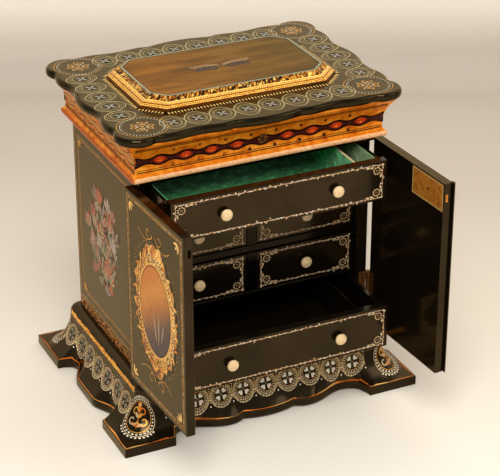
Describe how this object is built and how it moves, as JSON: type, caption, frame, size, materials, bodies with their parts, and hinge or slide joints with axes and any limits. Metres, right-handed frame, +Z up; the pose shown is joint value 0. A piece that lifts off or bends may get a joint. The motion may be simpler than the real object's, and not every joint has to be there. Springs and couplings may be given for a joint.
{
  "type": "sewing box",
  "caption": "Table-top sewing cabinet of black lacquer with pearl and gilt ornament: flared plinth, drawers behind paired doors, coved frieze and hinged serpentine lid.",
  "frame": {"origin": "on the floor under the middle of the plinth", "axes": "+Z up, -Y out of the front where the doors are, +X to the right seen from the front"},
  "size_m": [0.332, 0.3403, 0.346],
  "materials": {
    "lacquer": "black lacquer, polished",
    "gilded_lacquer": "amber gilt ground with dark ribbon, varnished",
    "brass": "aged brass",
    "bone": "turned and polished bone",
    "velvet": "deep green velvet",
    "lining_paper": "plain lining paper",
    "bare_wood": "pale bare wood"
  },
  "bodies": {
    "cabinet": {"base_board": "lacquer", "carcass_back": "lacquer", "carcass_bottom": "lacquer", "carcass_left_side": "lacquer", "carcass_right_side": "lacquer", "carcass_top": "lacquer", "centre_dividers": "lacquer", "frieze_back": "gilded_lacquer", "frieze_front": "gilded_lacquer", "frieze_left": "gilded_lacquer", "frieze_right": "gilded_lacquer", "left_door_fixed_leaves": "brass", "lid_escutcheon": "brass", "lid_fixed_leaves": "brass", "lid_lock_case": "brass", "plinth_cove": "lacquer", "right_door_fixed_leaves": "brass", "shelf_lower": "lacquer", "shelf_middle": "lacquer", "shelf_upper": "lacquer", "well_dividers": "lacquer", "well_lining": "velvet"},
    "lid": {"lid_board": "lacquer", "lid_panel": "lacquer", "lid_lining": "lining_paper", "lid_moving_leaves": "brass", "lid_hinge_pins": "brass", "lid_lock_link": "brass"},
    "left_door": {"left_door_panel": "lacquer", "left_door_moving_leaves": "brass", "left_door_pins": "brass"},
    "right_door": {"right_door_panel": "lacquer", "right_door_astragal": "lacquer", "right_door_moving_leaves": "brass", "right_door_pins": "brass", "right_door_lock": "brass"},
    "lock_bolt": {"right_door_bolt": "brass"},
    "top_drawer": {"top_drawer_box": "lacquer", "top_drawer_front": "lacquer", "top_drawer_knobs": "bone", "top_drawer_lining": "velvet", "top_drawer_partition": "bare_wood"},
    "upper_left_drawer": {"upper_left_drawer_box": "lacquer", "upper_left_drawer_front": "lacquer", "upper_left_drawer_knobs": "bone"},
    "upper_right_drawer": {"upper_right_drawer_box": "lacquer", "upper_right_drawer_front": "lacquer", "upper_right_drawer_knobs": "bone"},
    "lower_left_drawer": {"lower_left_drawer_box": "lacquer", "lower_left_drawer_front": "lacquer", "lower_left_drawer_knobs": "bone"},
    "lower_right_drawer": {"lower_right_drawer_box": "lacquer", "lower_right_drawer_front": "lacquer", "lower_right_drawer_knobs": "bone"},
    "bottom_drawer": {"bottom_drawer_box": "lacquer", "bottom_drawer_front": "lacquer", "bottom_drawer_knobs": "bone", "bottom_drawer_partition": "lacquer"}
  },
  "joints": [
    {"name": "lid_hinge", "type": "hinge", "parent": "cabinet", "child": "lid", "pos_m": [0, 0.1071, 0.3248], "axis": [-1, 0, 0], "range_deg": [0, 95]},
    {"name": "left_door_hinge", "type": "hinge", "parent": "cabinet", "child": "left_door", "pos_m": [-0.1306, -0.07975, 0.17], "axis": [0, 0, -1], "range_deg": [-8, 92.5]},
    {"name": "right_door_hinge", "type": "hinge", "parent": "cabinet", "child": "right_door", "pos_m": [0.1306, -0.07975, 0.17], "axis": [0, 0, 1], "range_deg": [-13, 87]},
    {"name": "lock_bolt_slide", "type": "slide", "parent": "right_door", "child": "lock_bolt", "axis": [0.0523, -0.9986, 0], "range_m": [0, 0.004]},
    {"name": "top_drawer_slide", "type": "slide", "parent": "cabinet", "child": "top_drawer", "axis": [0, -1, 0], "range_m": [-0.066, 0.044]},
    {"name": "upper_left_drawer_slide", "type": "slide", "parent": "cabinet", "child": "upper_left_drawer", "axis": [0, -1, 0], "range_m": [0, 0.11]},
    {"name": "upper_right_drawer_slide", "type": "slide", "parent": "cabinet", "child": "upper_right_drawer", "axis": [0, -1, 0], "range_m": [0, 0.11]},
    {"name": "lower_left_drawer_slide", "type": "slide", "parent": "cabinet", "child": "lower_left_drawer", "axis": [0, -1, 0], "range_m": [0, 0.11]},
    {"name": "lower_right_drawer_slide", "type": "slide", "parent": "cabinet", "child": "lower_right_drawer", "axis": [0, -1, 0], "range_m": [0, 0.11]},
    {"name": "bottom_drawer_slide", "type": "slide", "parent": "cabinet", "child": "bottom_drawer", "axis": [0, -1, 0], "range_m": [-0.0785, 0.0315]}
  ]
}
